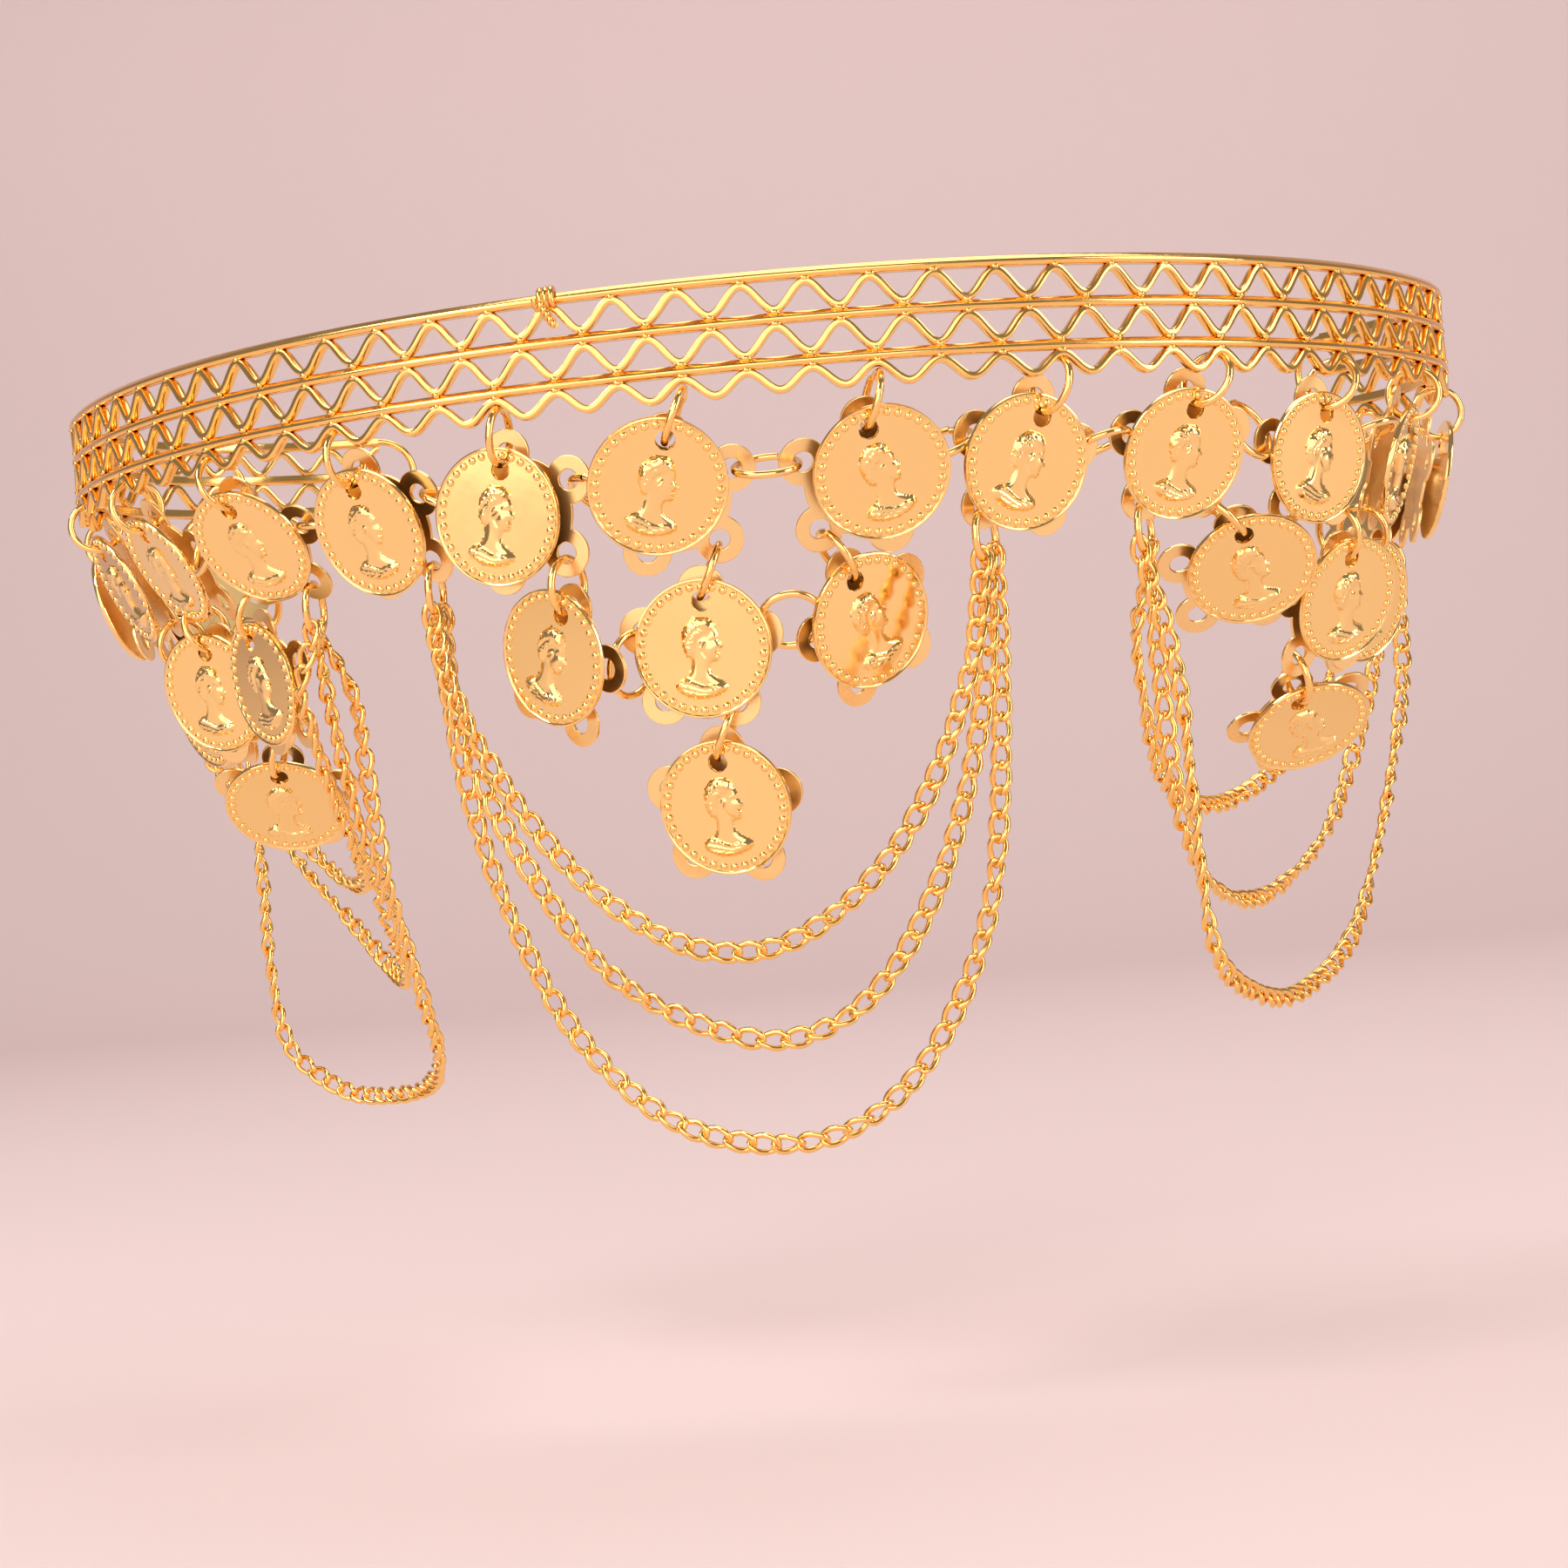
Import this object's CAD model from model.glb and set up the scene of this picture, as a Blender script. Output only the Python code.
# Coin headband: a gold lattice band with coin pendants and swags of chain.
# Metres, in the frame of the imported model: +Z up, front towards -Y.
import math
import bpy
import numpy as np
from mathutils import Matrix, Vector
from mathutils.geometry import delaunay_2d_cdt


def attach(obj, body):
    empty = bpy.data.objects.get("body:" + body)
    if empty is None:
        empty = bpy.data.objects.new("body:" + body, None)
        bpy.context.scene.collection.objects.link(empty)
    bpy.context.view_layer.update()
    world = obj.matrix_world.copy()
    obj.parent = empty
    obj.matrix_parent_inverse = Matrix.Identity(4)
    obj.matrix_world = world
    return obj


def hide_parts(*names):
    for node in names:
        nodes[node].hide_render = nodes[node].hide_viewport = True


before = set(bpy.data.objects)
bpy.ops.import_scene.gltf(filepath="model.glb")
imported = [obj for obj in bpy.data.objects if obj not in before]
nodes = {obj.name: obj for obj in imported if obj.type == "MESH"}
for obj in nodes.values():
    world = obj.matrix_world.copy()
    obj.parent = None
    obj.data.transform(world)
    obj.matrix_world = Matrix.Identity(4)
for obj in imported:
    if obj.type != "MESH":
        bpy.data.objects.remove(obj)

# ---- The band ----
# Three bright rails bent to the head, two zigzag wires between them and a scalloped wire
# below, all flat ribbon soldered where they touch, with a round loop at each end.
MM = 0.001
PITCH = 7.3
WAVES_LEFT, WAVES_RIGHT = 25, 22
FRONT_R, SIDE_R, FRONT_HALF = 96.5, 38.2, 113.5
FRONT_TURN = FRONT_HALF / FRONT_R
RAIL_STEP, RAIL_H, RAIL_D = 4.87, 1.3, 1.5
WIRE_FACE, WIRE_DEPTH = 0.9, 1.3
SCALLOP_H, LAP = 2.95, 0.15
LOOP_WIRE = 1.0


def heading(s):
    if abs(s) <= FRONT_HALF:
        return s / FRONT_R
    return math.copysign(FRONT_TURN + (abs(s) - FRONT_HALF) / SIDE_R, s)


def spot(s, out=0.0):
    a = heading(s)
    if abs(s) <= FRONT_HALF:
        return np.array([math.sin(a), -math.cos(a)]) * (FRONT_R + out)
    middle = np.array([math.copysign(math.sin(FRONT_TURN), s), -math.cos(FRONT_TURN)])
    return middle * (FRONT_R - SIDE_R) + np.array([math.sin(a), -math.cos(a)]) * (SIDE_R + out)


def rounded(points, radius):
    # a closed outline with each corner cut by a short arc of three points
    out = []
    for i, p in enumerate(points):
        p = np.array(p, float)
        a = np.array(points[i - 1], float) - p
        b = np.array(points[(i + 1) % len(points)], float) - p
        a *= min(radius, np.linalg.norm(a) / 2.2) / np.linalg.norm(a)
        b *= min(radius, np.linalg.norm(b) / 2.2) / np.linalg.norm(b)
        out += [p + a, p + (a + b) * 0.29, p + b]
    return out


def sweep(rings, verts, faces, closed=False):
    # joins a list of equal rings of 3-D points with quads and caps the two ends
    n, first = len(rings[0]), len(verts)
    for ring in rings:
        verts.extend(tuple(p) for p in ring)
    for i in range(len(rings) - (0 if closed else 1)):
        a, b = first + i * n, first + ((i + 1) % len(rings)) * n
        for j in range(n):
            k = (j + 1) % n
            faces.append((a + j, a + k, b + k, b + j))
    if not closed:
        faces.append(tuple(first + j for j in reversed(range(n))))
        faces.append(tuple(first + (len(rings) - 1) * n + j for j in range(n)))


def tube_rings(path, radius, sides, closed=False, start=None):
    # rings of a round wire along a path, turned as little as possible between points
    path = [np.array(p, float) for p in path]
    count = len(path)
    rings, u = [], None
    for i, p in enumerate(path):
        if closed:
            t = path[(i + 1) % count] - path[i - 1]
        else:
            t = path[min(i + 1, count - 1)] - path[max(i - 1, 0)]
        t /= np.linalg.norm(t)
        if u is None:
            u = np.array(start, float) if start is not None else np.array([0.0, 0.0, 1.0])
            if abs(t @ u) > 0.95:
                u = np.array([1.0, 0.0, 0.0])
        u = u - t * (t @ u)
        u /= np.linalg.norm(u)
        w = np.cross(t, u)
        r = radius[i] if isinstance(radius, (list, tuple)) else radius
        rings.append([p + r * (math.cos(a) * u + math.sin(a) * w)
                      for a in np.arange(sides) * 2 * math.pi / sides])
    return rings


def dome(verts, faces, middle, axes, around=10, rows=4):
    # a small half-buried lump: an ellipsoid with three given half axes
    first = len(verts)
    middle = np.array(middle, float)
    a, b, c = (np.array(v, float) for v in axes)
    verts.append(tuple(middle + c))
    for i in range(1, rows + 1):
        lift = math.pi / 2 * (1 - i / rows)
        for j in range(around):
            turn = 2 * math.pi * j / around
            p = middle + math.cos(lift) * (math.cos(turn) * a + math.sin(turn) * b)
            verts.append(tuple(p + math.sin(lift) * c))
    for j in range(around):
        k = (j + 1) % around
        faces.append((first, first + 1 + j, first + 1 + k))
        for i in range(rows - 1):
            q = first + 1 + i * around
            faces.append((q + j, q + around + j, q + around + k, q + k))


def make_mesh(name, verts, faces, sharp=40.0):
    mesh = bpy.data.meshes.new(name)
    mesh.from_pydata([tuple(float(c) * MM for c in v) for v in verts], [], faces)
    mesh.validate()
    mesh.polygons.foreach_set("use_smooth", [True] * len(mesh.polygons))
    mesh.set_sharp_from_angle(angle=math.radians(sharp))
    return mesh


def add_piece(name, mesh, material):
    piece = bpy.data.objects.new(name, mesh)
    bpy.context.scene.collection.objects.link(piece)
    mesh.materials.clear()
    mesh.materials.append(material)
    return piece


# Shared wear of polished metal: soft patches of handling haze in the roughness, and fine
# ripples of the stamping and polishing in the surface.
wear = bpy.data.node_groups.new("polished wear", "ShaderNodeTree")
wear.interface.new_socket("Ripple Scale", in_out="INPUT", socket_type="NodeSocketFloat")
wear.interface.new_socket("Haze Scale", in_out="INPUT", socket_type="NodeSocketFloat")
wear.interface.new_socket("Low", in_out="INPUT", socket_type="NodeSocketFloat")
wear.interface.new_socket("High", in_out="INPUT", socket_type="NodeSocketFloat")
wear.interface.new_socket("Roughness", in_out="OUTPUT", socket_type="NodeSocketFloat")
wear.interface.new_socket("Height", in_out="OUTPUT", socket_type="NodeSocketFloat")
w_in = wear.nodes.new("NodeGroupInput")
w_out = wear.nodes.new("NodeGroupOutput")
w_place = wear.nodes.new("ShaderNodeTexCoord")
w_haze = wear.nodes.new("ShaderNodeTexNoise")
w_haze.inputs["Detail"].default_value = 4.0
w_ripple = wear.nodes.new("ShaderNodeTexNoise")
w_ripple.inputs["Detail"].default_value = 2.0
w_range = wear.nodes.new("ShaderNodeMapRange")
w_range.inputs["From Min"].default_value = 0.35
w_range.inputs["From Max"].default_value = 0.7
wear.links.new(w_place.outputs["Object"], w_haze.inputs["Vector"])
wear.links.new(w_place.outputs["Object"], w_ripple.inputs["Vector"])
wear.links.new(w_in.outputs["Haze Scale"], w_haze.inputs["Scale"])
wear.links.new(w_in.outputs["Ripple Scale"], w_ripple.inputs["Scale"])
wear.links.new(w_haze.outputs["Fac"], w_range.inputs["Value"])
wear.links.new(w_in.outputs["Low"], w_range.inputs["To Min"])
wear.links.new(w_in.outputs["High"], w_range.inputs["To Max"])
wear.links.new(w_range.outputs["Result"], w_out.inputs["Roughness"])
wear.links.new(w_ripple.outputs["Fac"], w_out.inputs["Height"])


def gold(name, colour, low, high, ripple, haze, bump):
    # a polished gold-plated metal with the shared wear
    material = bpy.data.materials.new(name)
    material.use_nodes = True
    tree = material.node_tree
    shader = tree.nodes["Principled BSDF"]
    shader.inputs["Base Color"].default_value = (*colour, 1.0)
    shader.inputs["Metallic"].default_value = 1.0
    group = tree.nodes.new("ShaderNodeGroup")
    group.node_tree = wear
    group.inputs["Ripple Scale"].default_value = ripple
    group.inputs["Haze Scale"].default_value = haze
    group.inputs["Low"].default_value = low
    group.inputs["High"].default_value = high
    tree.links.new(group.outputs["Roughness"], shader.inputs["Roughness"])
    relief = tree.nodes.new("ShaderNodeBump")
    relief.inputs["Strength"].default_value = bump
    relief.inputs["Distance"].default_value = 0.0001
    tree.links.new(group.outputs["Height"], relief.inputs["Height"])
    tree.links.new(relief.outputs["Normal"], shader.inputs["Normal"])
    return material


verts, faces = [], []
s_left, s_right = -WAVES_LEFT * PITCH, WAVES_RIGHT * PITCH
d, h = RAIL_D / 2, RAIL_H / 2
rail_outline = rounded([(-d, -h), (d - 0.3, -h), (d, -h + 0.35), (d, 0.05), (0.1, h), (-d, h)], 0.14)
for z in (RAIL_STEP, 0.0, -RAIL_STEP):
    sweep([[(*spot(s, q[0]), z + q[1]) for q in rail_outline]
           for s in np.linspace(s_left, s_right, 210)], verts, faces)

row_height = RAIL_STEP - RAIL_H + 2 * LAP
row_rise = (row_height - WIRE_FACE) / 2
edge_height = SCALLOP_H + LAP
edge_rise = (edge_height - WIRE_FACE) / 2
edge_middle = -RAIL_STEP - RAIL_H / 2 + LAP - edge_height / 2
wire_outline = rounded([(-WIRE_DEPTH / 2, -WIRE_FACE / 2), (WIRE_DEPTH / 2, -WIRE_FACE / 2),
                        (WIRE_DEPTH / 2, WIRE_FACE / 2), (-WIRE_DEPTH / 2, WIRE_FACE / 2)], 0.3)
for middle, rise, way in ((RAIL_STEP / 2, row_rise, 1), (-RAIL_STEP / 2, row_rise, -1),
                          (edge_middle, edge_rise, 1)):
    rings = []
    for s in np.arange(s_left, s_right + 0.01, PITCH / 20):
        turn = 2 * math.pi * s / PITCH
        z = middle + way * rise * math.cos(turn)
        slope = -way * rise * math.sin(turn) * 2 * math.pi / PITCH
        back, up = -slope / math.hypot(1, slope), 1 / math.hypot(1, slope)
        rings.append([(*spot(s + q[1] * back, q[0]), z + q[1] * up) for q in wire_outline])
    sweep(rings, verts, faces)

# solder where a crest meets its rail
for i in range(1 - 2 * WAVES_LEFT, 2 * WAVES_RIGHT):
    s = i * PITCH / 2
    a = heading(s)
    along = np.array([math.cos(a), math.sin(a), 0.0])
    out = np.array([math.sin(a), -math.cos(a), 0.0])
    odd = i % 2
    for z in (h, -h) if odd else (RAIL_STEP - h, -RAIL_STEP + h, -RAIL_STEP - h):
        place = np.array([*spot(s, WIRE_DEPTH / 2 - 0.25), z])
        size = 0.55 + 0.12 * math.sin(i * 2.7 + z)
        dome(verts, faces, place, (along * size, np.array([0, 0, 0.38]), out * 0.42), 10, 3)

# the closing loop at each end, from the top rail to the lowest
for s in (s_left, s_right):
    a = heading(s)
    along = np.array([math.cos(a), math.sin(a), 0.0]) * math.copysign(1, s)
    base = np.array([*spot(s), 0.0])
    path = [base + RAIL_STEP * (math.sin(t) * along + math.cos(t) * np.array([0, 0, 1]))
            for t in np.radians(np.linspace(-5, 185, 40))]
    sweep(tube_rings(path, LOOP_WIRE / 2, 14), verts, faces)

band_gold = gold("band gold", (1.0, 0.63, 0.20), 0.10, 0.22, 900.0, 160.0, 0.12)
band = add_piece("band_lattice", make_mesh("band_lattice", verts, faces, 35), band_gold)
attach(band, "root")
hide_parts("band")

# ---- The wire tie ----
# A soft wire wound three times round the top rail, its two ends twisted together and
# bent down in front of the first row of waves.
TIE_S = -2.05 * PITCH
WOUND_R, TAIL_R = 0.36, 0.3
verts, faces = [], []
a = heading(TIE_S)
along = np.array([math.cos(a), math.sin(a), 0.0])
out = np.array([math.sin(a), -math.cos(a), 0.0])
up = np.array([0.0, 0.0, 1.0])
base = np.array([*spot(TIE_S), RAIL_STEP])
path = []
for t in np.linspace(0, 3.15, 110):
    turn = 2 * math.pi * t
    lean = 1.15 + 0.05 * math.sin(7 * t)
    path.append(base + along * (-0.95 + 0.66 * t) + lean * (out * math.cos(turn) - up * math.sin(turn)))
sweep(tube_rings(path, WOUND_R, 12, start=up), verts, faces)
root_tip = base + out * 1.35 - up * 0.6 + along * -0.3
end_tip = base + out * 1.25 - up * 3.3 + along * 1.25
run = end_tip - root_tip
length = np.linalg.norm(run)
run /= length
side = np.cross(run, out)
side /= np.linalg.norm(side)
cross = np.cross(run, side)
for phase in (0.0, math.pi):
    path = []
    for t in np.linspace(0, 1, 46):
        turn = phase + t * 2.4 * 2 * math.pi
        path.append(root_tip + run * length * t
                    + 0.27 * (math.cos(turn) * side + math.sin(turn) * cross))
    sweep(tube_rings(path, TAIL_R, 10, start=side), verts, faces)
tie_gold = gold("tie gold", (0.92, 0.56, 0.18), 0.14, 0.28, 1200.0, 240.0, 0.15)
tie = add_piece("tie_wire", make_mesh("tie_wire", verts, faces, 50), tie_gold)
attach(tie, "root")
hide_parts("wire_tie")

# ---- The coins ----
# Thin stamped coins, each with a fine rim, a ring of round beads, a flat polished field and
# a low bust facing right, with a punched hole above it.
COIN_R, COIN_T, HOLE_AT, HOLE_R = 8.0, 0.5, 5.4, 1.2
BEADS, BEAD_AT, BEAD_R, BEAD_H = 34, 7.06, 0.49, 0.38
RIM_W, BUST_SCALE = 0.42, 1.45


def spline(points, closed=True, steps=5):
    # a smooth line through points
    pts = [np.array(p, float) for p in points]
    n, out = len(pts), []
    for i in range(n if closed else n - 1):
        if closed:
            p = [pts[(i + k) % n] for k in (-1, 0, 1, 2)]
        else:
            p = [pts[max(i - 1, 0)], pts[i], pts[i + 1], pts[min(i + 2, n - 1)]]
        for t in np.arange(steps) / steps:
            out.append(0.5 * (2 * p[1] + (p[2] - p[0]) * t + (2 * p[0] - 5 * p[1] + 4 * p[2] - p[3]) * t * t
                              + (3 * p[1] - p[0] - 3 * p[2] + p[3]) * t ** 3))
    if not closed:
        out.append(pts[-1])
    return np.array(out)


def line_distance(xz, line, closed=True):
    # distance of many points to a line of short pieces
    a = line if closed else line[:-1]
    b = np.roll(line, -1, axis=0) if closed else line[1:]
    best = np.full(len(xz), 9.0)
    for p, q in zip(a, b):
        v = q - p
        t = np.clip(((xz - p) @ v) / max(v @ v, 1e-9), 0, 1)
        best = np.minimum(best, np.linalg.norm(xz - p - t[:, None] * v, axis=1))
    return best


def inside(xz, line):
    # which of many points lie in a closed outline
    hit = np.zeros(len(xz), bool)
    x, z = xz[:, 0], xz[:, 1]
    for p, q in zip(line, np.roll(line, -1, axis=0)):
        span = (p[1] > z) != (q[1] > z)
        with np.errstate(divide="ignore", invalid="ignore"):
            hit ^= span & (x < (q[0] - p[0]) * (z - p[1]) / (q[1] - p[1]) + p[0])
    return hit


def pillow(xz, line, height, soft):
    # a raised shape with a soft rounded edge
    depth = np.where(inside(xz, line), line_distance(xz, line), 0.0)
    t = np.clip(depth / soft, 0, 1)
    return height * np.sqrt(1 - (1 - t) ** 2)


def ridge(xz, line, height, width):
    # a raised cord along an open line
    return height * np.exp(-(line_distance(xz, line, False) / width) ** 2)


face_line = spline([(1.2, 2.6), (1.6, 2.0), (1.78, 1.45), (1.7, 1.08), (1.98, 0.62), (2.26, 0.2),
                    (1.9, 0.0), (2.0, -0.2), (1.84, -0.34), (1.94, -0.5), (1.76, -0.72), (1.9, -1.05),
                    (1.62, -1.42), (0.95, -1.55), (0.8, -2.1), (0.95, -2.9), (1.7, -3.5), (2.7, -4.1),
                    (2.5, -4.9), (1.3, -5.45), (-0.4, -5.7), (-1.9, -5.4), (-3.1, -4.6), (-2.8, -3.7),
                    (-1.6, -3.0), (-1.25, -1.9), (-1.3, -0.9), (-1.6, 0.4), (-0.8, 2.6), (0.4, 3.1)])
hair_line = spline([(1.35, 2.4), (1.2, 3.0), (0.5, 3.5), (-0.5, 3.55), (-1.5, 3.1), (-2.15, 2.2),
                    (-2.35, 1.1), (-2.2, 0.1), (-1.9, -0.7), (-1.3, -1.1), (-0.75, -0.7), (-0.5, 0.2),
                    (-0.35, 1.0), (0.2, 1.6), (0.9, 1.9)])
drape_line = spline([(-3.05, -3.9), (-2.0, -3.3), (-0.8, -3.75), (0.4, -4.1), (1.5, -3.9), (2.6, -4.2),
                     (2.4, -4.9), (1.2, -5.35), (-0.4, -5.6), (-1.9, -5.3), (-2.9, -4.6)])
folds = [spline(p, False) for p in (
    [(-2.7, -4.2), (-1.4, -4.5), (0.2, -4.9), (1.9, -4.6)],
    [(-2.3, -3.6), (-1.2, -3.9), (0.0, -4.4), (1.4, -4.3), (2.5, -4.4)],
    [(-2.3, -4.8), (-1.2, -5.1), (0.4, -5.3), (1.6, -5.0)],
    [(-1.9, -3.3), (-1.7, -4.0), (-2.0, -4.7)])]
diadem = spline([(1.3, 2.2), (0.5, 2.75), (-0.6, 2.55), (-1.7, 1.6), (-2.2, 0.7)], False)
ear_line = spline([(-0.15, 0.75), (0.12, 0.95), (0.3, 0.7), (0.15, 0.3), (-0.05, 0.1)], False)
jaw_line = spline([(1.5, -1.3), (0.7, -1.05), (0.1, -0.4), (0.05, 0.2)], False)


def bust_height(xz, style):
    # height of the bust above the field; style shifts the hair and the folds a little
    h0 = pillow(xz, face_line, 0.30, 0.7)
    cheek = 0.09 * np.exp(-(((xz[:, 0] - 1.0) / 0.8) ** 2 + ((xz[:, 1] + 0.1) / 0.9) ** 2))
    h0 = h0 + np.where(h0 > 0.1, cheek, 0)
    h0 = h0 - ridge(xz, jaw_line, 0.05, 0.18) * (h0 > 0.1)
    h0 = h0 - 0.07 * np.exp(-(((xz[:, 0] - 1.35) / 0.24) ** 2 + ((xz[:, 1] - 0.92) / 0.17) ** 2))
    h0 = h0 + 0.07 * np.exp(-(((xz[:, 0] - 1.34) / 0.14) ** 2 + ((xz[:, 1] - 0.92) / 0.08) ** 2))
    h0 = h0 + ridge(xz, spline([(0.95, 1.2), (1.35, 1.33), (1.7, 1.22)], False), 0.06, 0.1)
    h0 = h0 - ridge(xz, spline([(1.45, -0.32), (1.92, -0.35)], False), 0.06, 0.07)
    h0 = h0 + ridge(xz, ear_line, 0.12, 0.13)
    hair = pillow(xz, hair_line, 0.42, 0.55)
    curl = 0.0
    rows = 7 if style == 0 else 6
    for i in range(rows):
        for j in range(9):
            turn = math.radians(-35 + 31 * j + 14 * (i % 2))
            r = 0.45 + 0.43 * i
            x = -0.55 + r * math.cos(turn) * 0.86
            z = 1.35 + r * math.sin(turn)
            curl = curl + np.exp(-(((xz[:, 0] - x) ** 2 + (xz[:, 1] - z) ** 2) / 0.030))
    hair = hair + np.where(hair > 0.2, 0.11 * np.clip(curl, 0, 1) - 0.05, 0)
    h0 = np.maximum(h0, hair)
    h0 = h0 + np.where(hair > 0.1, ridge(xz, diadem, 0.10, 0.14), 0)
    drape = pillow(xz, drape_line, 0.36, 0.45)
    for f in folds[:4 if style == 0 else 3]:
        drape = drape + np.where(drape > 0.1, ridge(xz, f, 0.10, 0.16), 0)
    return BUST_SCALE * np.maximum(h0, drape)


def coin_mesh(name, style):
    verts, faces = [], []
    inner = COIN_R - RIM_W
    rim = [(inner * math.cos(t), inner * math.sin(t)) for t in np.arange(96) * 2 * math.pi / 96]
    hole = [(HOLE_R * math.cos(t), HOLE_AT + HOLE_R * math.sin(t))
            for t in -np.arange(32) * 2 * math.pi / 32]
    fine, coarse = [], []
    for x in np.arange(-3.6, 3.4, 0.17):
        for z in np.arange(-6.1, 4.05, 0.17):
            fine.append((x + 0.03 * math.sin(z * 40), z))
    for x in np.arange(-7.2, 7.3, 0.8):
        for z in np.arange(-7.2, 7.3, 0.8):
            if not (-3.9 < x < 3.7 and -6.4 < z < 4.3):
                coarse.append((x, z))
    grid = [p for p in fine + coarse
            if math.hypot(*p) < inner - 0.3 and math.hypot(p[0], p[1] - HOLE_AT) > HOLE_R + 0.25]
    points = [Vector(p) for p in rim + hole + grid]
    edges = [(i, (i + 1) % 96) for i in range(96)] + [(96 + i, 96 + (i + 1) % 32) for i in range(32)]
    flat, _, tris, _, _, _ = delaunay_2d_cdt(points, edges, [], 0, 1e-6)
    flat = np.array([(p.x, p.y) for p in flat])
    height = bust_height(flat, style)
    height[:96] = 0.0
    front = -COIN_T / 2
    verts += [(x, front - z_up, z) for (x, z), z_up in zip(flat, height)]
    for t in tris:
        m = flat[list(t)].mean(axis=0)
        if math.hypot(m[0], m[1] - HOLE_AT) > HOLE_R * 0.97 and math.hypot(*m) < inner:
            p, q, r = (flat[i] for i in t)
            turn = (q[0] - p[0]) * (r[1] - p[1]) - (q[1] - p[1]) * (r[0] - p[0])
            faces.append(tuple(t) if turn > 0 else tuple(reversed(t)))
    # rim, edge and plain back
    profile = [(inner, front), (inner + 0.1, front - 0.1), (COIN_R - 0.2, front - 0.15),
               (COIN_R - 0.06, front - 0.11), (COIN_R, front + 0.02), (COIN_R, -front - 0.1),
               (COIN_R - 0.1, -front)]
    first = len(verts)
    for r, y in profile:
        verts += [(r * math.cos(t), y, r * math.sin(t)) for t in np.arange(96) * 2 * math.pi / 96]
    for i in range(len(profile) - 1):
        for j in range(96):
            k = (j + 1) % 96
            a, b = first + i * 96, first + (i + 1) * 96
            faces.append((b + j, b + k, a + k, a + j))
    back = first + (len(profile) - 1) * 96
    outer = [(COIN_R - 0.1) * np.array([math.cos(t), math.sin(t)]) for t in np.arange(96) * 2 * math.pi / 96]
    flat2, _, tris2, _, _, _ = delaunay_2d_cdt(
        [Vector(p) for p in outer] + [Vector(p) for p in hole],
        edges, [], 0, 1e-6)
    base = len(verts)
    verts += [(p.x, -front, p.y) for p in flat2]
    for t in tris2:
        m = np.mean([(flat2[i].x, flat2[i].y) for i in t], axis=0)
        if math.hypot(m[0], m[1] - HOLE_AT) > HOLE_R * 0.97:
            p, q, r = (flat2[i] for i in t)
            turn = (q.x - p.x) * (r.y - p.y) - (q.y - p.y) * (r.x - p.x)
            faces.append(tuple(base + i for i in (t if turn < 0 else reversed(t))))
    # wall of the hole, with its front edge drawn in a little by the punch
    ring = len(verts)
    for y in (front, front + 0.12, -front):
        r = HOLE_R if y != front + 0.12 else HOLE_R - 0.02
        verts += [(r * math.cos(t), y, HOLE_AT + r * math.sin(t)) for t in np.arange(32) * 2 * math.pi / 32]
    for i in range(2):
        for j in range(32):
            k = (j + 1) % 32
            a, b = ring + i * 32, ring + (i + 1) * 32
            faces.append((a + j, a + k, b + k, b + j))
    # beads
    for i in range(BEADS):
        t = (i + 0.5) * 2 * math.pi / BEADS
        middle = (BEAD_AT * math.cos(t), front + 0.02, BEAD_AT * math.sin(t))
        if math.hypot(middle[0], middle[2] - HOLE_AT) < HOLE_R + 0.25:
            continue
        dome(verts, faces, middle, ((BEAD_R, 0, 0), (0, 0, BEAD_R), (0, -BEAD_H, 0)), 12, 4)
    return make_mesh(name, verts, faces, 38)


def coin_place(node):
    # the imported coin's middle, right, back and up directions, read from its own shape
    p = np.array([tuple(node.matrix_world @ v.co) for v in node.data.vertices])
    middle = p.mean(axis=0)
    _, axes = np.linalg.eigh(np.cov((p - middle).T))
    rough = axes[:, 0] * (1 if axes[:, 0] @ np.array([middle[0], middle[1], 0]) > 0 else -1)
    n = np.zeros(3)
    for q in node.data.polygons:
        facing = np.array(q.normal) @ rough
        if abs(facing) > 0.995:
            n += np.array(q.normal) * q.area * np.sign(facing)
    n /= np.linalg.norm(n)
    flat = p - np.outer((p - middle) @ n, n)
    u, v = axes[:, 1], axes[:, 2]
    a, b = (flat - middle) @ u, (flat - middle) @ v
    middle = middle + u * (a.max() + a.min()) / 2 + v * (b.max() + b.min()) / 2
    level = (p - middle) @ n
    rear = p[level < level.min() + 0.00002]
    reach = np.linalg.norm((rear - middle) - np.outer((rear - middle) @ n, n), axis=1)
    hole = rear[reach < 0.0075].mean(axis=0)
    middle = middle + n * (level.min() + COIN_T / 2 * MM)
    up = hole - middle
    up -= n * (up @ n)
    up /= np.linalg.norm(up)
    right = np.cross(up, n)
    return Matrix([[right[i], -n[i], up[i], middle[i]] for i in range(3)] + [[0, 0, 0, 1]])


coin_gold = gold("coin gold", (1.0, 0.70, 0.28), 0.07, 0.16, 260.0, 90.0, 0.10)
coin_meshes = [coin_mesh("coin_a", 0), coin_mesh("coin_b", 1)]
coin_names = [n for n in nodes if "_coin_" in n]
for i, name in enumerate(sorted(coin_names)):
    coin = add_piece(name.replace("coin", "stamped"), coin_meshes[i % 2], coin_gold)
    coin.matrix_world = coin_place(nodes[name])
    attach(coin, "root")
    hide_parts(name)

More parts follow.
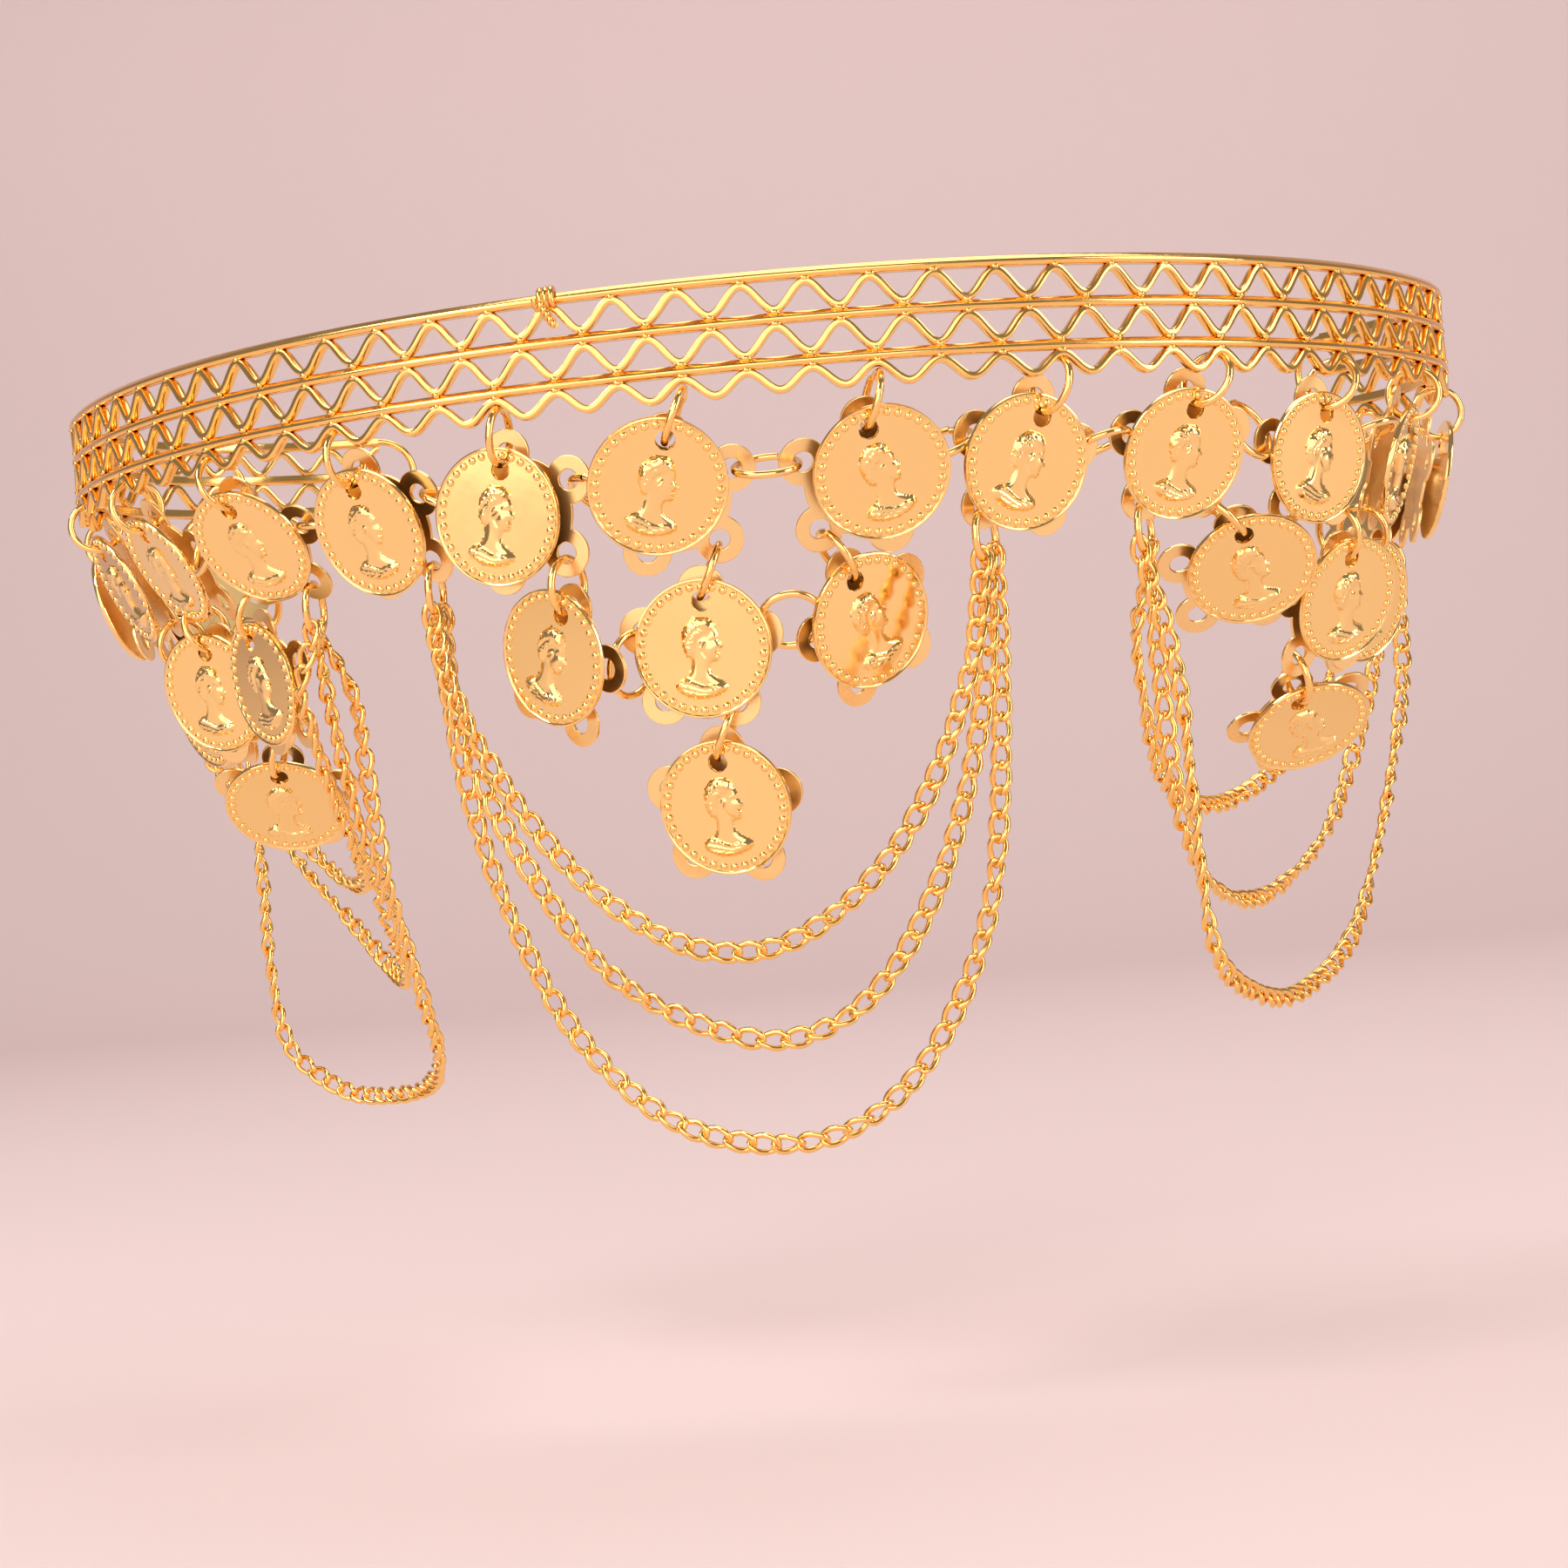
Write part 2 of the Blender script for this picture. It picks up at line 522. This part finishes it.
# ---- The back plates ----
# Plain stamped plates behind the coins, each with five round ears and a hole in each ear.
# They are thin, bright and a little wavy from the press.
plate_gold = gold("plate gold", (1.0, 0.70, 0.30), 0.22, 0.36, 180.0, 70.0, 0.22)
for name in ("plates_left", "plates_front", "plates_right"):
    plates = nodes[name]
    plates.data.materials.clear()
    plates.data.materials.append(plate_gold)
    weld = plates.modifiers.new("weld", "WELD")
    weld.merge_threshold = 0.000001
    if "custom_normal" in plates.data.attributes:
        plates.data.attributes.remove(plates.data.attributes["custom_normal"])
    plates.data.polygons.foreach_set("use_smooth", [False] * len(plates.data.polygons))
    edge = plates.modifiers.new("stamped edge", "BEVEL")
    edge.width = 0.00009
    edge.segments = 2
    edge.limit_method = "ANGLE"
    edge.angle_limit = math.radians(50)

# ---- The rings ----
# Round jump rings of bright wire, each closed on a fine cut: they hang the coins from the
# scallops and from each other, link the plates and carry the swags.
RING_WIRE = 0.9


def loose_parts(node):
    # groups of the node's points that hang together
    mesh = node.data
    p = np.array([tuple(node.matrix_world @ v.co) for v in mesh.vertices])
    key = {}
    weld = np.array([key.setdefault(tuple(q), len(key)) for q in np.round(p, 7)])
    parent = list(range(len(key)))

    def find(i):
        while parent[i] != i:
            parent[i] = parent[parent[i]]
            i = parent[i]
        return i

    for e in mesh.edges:
        a, b = find(weld[e.vertices[0]]), find(weld[e.vertices[1]])
        if a != b:
            parent[a] = b
    group = np.array([find(i) for i in weld])
    return [p[group == g] for g in sorted(set(group), key=lambda g: p[group == g][:, 0].min())]


ring_gold = gold("ring gold", (1.0, 0.66, 0.24), 0.07, 0.16, 900.0, 200.0, 0.08)
for name in ("rings_left", "rings_front", "rings_right"):
    verts, faces = [], []
    for i, p in enumerate(loose_parts(nodes[name])):
        middle = p.mean(axis=0)
        _, axes = np.linalg.eigh(np.cov((p - middle).T))
        n, u, v = axes[:, 0], axes[:, 1], axes[:, 2]
        a, b = (p - middle) @ u, (p - middle) @ v
        middle = middle + u * (a.max() + a.min()) / 2 + v * (b.max() + b.min()) / 2
        radius = (a.max() - a.min()) / 2 / MM - RING_WIRE / 2
        up = np.array([0, 0, 1.0]) - n * n[2]
        up /= np.linalg.norm(up)
        right = np.cross(n, up)
        cut = math.radians(60 + 97 * i % 120)
        path = []
        for t in np.linspace(cut + 0.02, cut + 2 * math.pi - 0.02, 56):
            shift = n / MM * 0.12 * MM * (t - cut - math.pi) / math.pi
            path.append(middle / MM + radius * (math.cos(t) * right + math.sin(t) * up) + shift)
        sweep(tube_rings(path, RING_WIRE / 2, 14, start=n), verts, faces)
    wire = make_mesh(name + "_wire", verts, faces, 50)
    rings = add_piece(name.replace("rings", "jump_rings"), wire, ring_gold)
    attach(rings, "root")
    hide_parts(name)

# ---- The swag chains ----
# Fine curb chains, three to a swag. Each link is an oval of round wire with its ends turned
# against each other, so that it lies flat beside its neighbours.
LINK_L, LINK_W, LINK_WIRE, LINK_PITCH, LINK_TWIST = 4.2, 2.7, 0.72, 2.8, 42
link_a, link_b = (LINK_L - LINK_WIRE) / 2, (LINK_W - LINK_WIRE) / 2
link_path = []
for t in np.arange(22) * 2 * math.pi / 22:
    x, y = link_a * math.cos(t), link_b * math.sin(t) * (1 + 0.12 * math.cos(t) ** 2)
    turn = math.radians(LINK_TWIST) * x / link_a
    link_path.append((x, y * math.cos(turn), y * math.sin(turn)))
link_rings = np.array(tube_rings(link_path, LINK_WIRE / 2, 8, closed=True, start=(0, 0, 1)))


def tube_middle(node):
    # the middle line of a packed eight-sided tube, from its highest end to the other
    mesh = node.data
    p = np.array([tuple(node.matrix_world @ v.co) for v in mesh.vertices]) / MM
    key = {}
    weld = [key.setdefault(tuple(q), len(key)) for q in np.round(p, 3)]
    place = np.array(list(key))
    near = [set() for _ in place]
    for e in mesh.edges:
        a, b = weld[e.vertices[0]], weld[e.vertices[1]]
        near[a].add(b)
        near[b].add(a)
    top = int(place[:, 2].argmax())
    ring = {i for i in range(len(place)) if np.linalg.norm(place[i] - place[top]) < 2.25}
    seen, line = set(ring), []
    while ring:
        line.append(place[list(ring)].mean(axis=0))
        ring = {j for i in ring for j in near[i]} - seen
        seen |= ring
    return line


chain_gold = gold("chain gold", (1.0, 0.63, 0.20), 0.08, 0.2, 900.0, 200.0, 0.08)
for number, name in enumerate(sorted(n for n in nodes if "_chain_" in n)):
    line = tube_middle(nodes[name])
    line = [line[0] + (0, 0, 1.15)] + line + [line[-1] + (0, 0, 1.15)]
    fine = spline(line, False, 40)
    step = np.linalg.norm(np.diff(fine, axis=0), axis=1)
    at = np.concatenate([[0], np.cumsum(step)])
    first = link_a - LINK_WIRE / 2 - RING_WIRE / 2
    count = int(round((at[-1] - 2 * first) / LINK_PITCH)) + 1
    span = fine[-1] - fine[0]
    outside = np.array([span[1], -span[0], 0])
    outside /= np.linalg.norm(outside)
    verts, faces = [], []
    for i in range(count):
        s = first + (at[-1] - 2 * first) * i / (count - 1)
        middle = np.array([np.interp(s, at, fine[:, k]) for k in range(3)])
        ahead = np.array([np.interp(min(s + 1.2, at[-1]), at, fine[:, k]) for k in range(3)])
        behind = np.array([np.interp(max(s - 1.2, 0), at, fine[:, k]) for k in range(3)])
        t = ahead - behind
        t /= np.linalg.norm(t)
        w = outside - t * (t @ outside)
        w /= np.linalg.norm(w)
        roll = math.radians(38 * math.sin(0.31 * i + 1.7 * number) + 14 * math.sin(1.9 * i + number))
        u = np.cross(w, t)
        y, z = math.cos(roll) * u + math.sin(roll) * w, -math.sin(roll) * u + math.cos(roll) * w
        sweep([[middle + q[0] * t + q[1] * y + q[2] * z for q in ring] for ring in link_rings],
              verts, faces, closed=True)
    links = make_mesh(name + "_links", verts, faces, 60)
    chain = add_piece(name.replace("chain", "curb_chain"), links, chain_gold)
    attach(chain, "root")
    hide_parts(name)

# ---- Floor, light and camera ----
# A pale floor that curves up into a plain wall behind, with wide soft lights.
low, high = -0.125, 1.6
profile = [(-1.4, low)] + [(0.75 + 0.5 * math.sin(t), low + 0.5 - 0.5 * math.cos(t))
                           for t in np.linspace(0, math.pi / 2, 24)] + [(1.25, high)]
verts = [(x, y, z) for y, z in profile for x in (-2.2, 2.2)]
faces = [(2 * i, 2 * i + 1, 2 * i + 3, 2 * i + 2) for i in range(len(profile) - 1)]
floor_mesh = bpy.data.meshes.new("studio_floor")
floor_mesh.from_pydata(verts, [], faces)
floor_mesh.polygons.foreach_set("use_smooth", [True] * len(faces))
floor_paint = bpy.data.materials.new("floor paint")
floor_paint.use_nodes = True
floor_shader = floor_paint.node_tree.nodes["Principled BSDF"]
floor_shader.inputs["Base Color"].default_value = (0.93, 0.75, 0.74, 1.0)
floor_shader.inputs["Roughness"].default_value = 0.7
floor = add_piece("studio_floor", floor_mesh, floor_paint)


def soft_light(name, place, target, width, height, power, colour):
    lamp = bpy.data.lights.new(name, "AREA")
    lamp.shape = "RECTANGLE"
    lamp.size, lamp.size_y = width, height
    lamp.energy, lamp.color = power, colour
    holder = bpy.data.objects.new(name, lamp)
    holder.location = place
    holder.rotation_euler = (Vector(target) - Vector(place)).to_track_quat("-Z", "Y").to_euler()
    bpy.context.scene.collection.objects.link(holder)


soft_light("front", (-0.25, -1.3, 0.2), (0, 0, -0.03), 2.2, 1.4, 16.0, (1.0, 0.98, 0.95))
soft_light("key", (-0.7, -0.5, 0.8), (0, -0.02, -0.03), 0.5, 0.5, 5.0, (1.0, 0.98, 0.95))
soft_light("side", (1.0, -0.35, 0.25), (0, -0.02, -0.03), 0.4, 0.9, 4.0, (1.0, 0.97, 0.95))
soft_light("top", (0.1, 0.2, 1.0), (0, 0, 0), 0.9, 0.7, 4.0, (1.0, 0.98, 0.96))
world = bpy.data.worlds.new("studio")
bpy.context.scene.world = world
world.use_nodes = True
world.node_tree.nodes["Background"].inputs["Color"].default_value = (1.0, 0.89, 0.86, 1.0)
world.node_tree.nodes["Background"].inputs["Strength"].default_value = 0.25
bpy.context.scene.view_settings.view_transform = "Standard"

lens = bpy.data.cameras.new("camera")
lens.sensor_width = 36.0
lens.lens = 72.0
lens.clip_start = 0.01
camera = bpy.data.objects.new("camera", lens)
look = Vector((-0.09882, 0.99509, 0.00558)).normalized()
above = Vector((0.08861, 0.00322, 0.99606))
above = (above - look * above.dot(look)).normalized()
right = look.cross(above)
camera.matrix_world = Matrix([[right[i], above[i], -look[i], (0.04197, -0.44514, -0.05394)[i]]
                              for i in range(3)] + [[0, 0, 0, 1]])
bpy.context.scene.collection.objects.link(camera)
bpy.context.scene.camera = camera

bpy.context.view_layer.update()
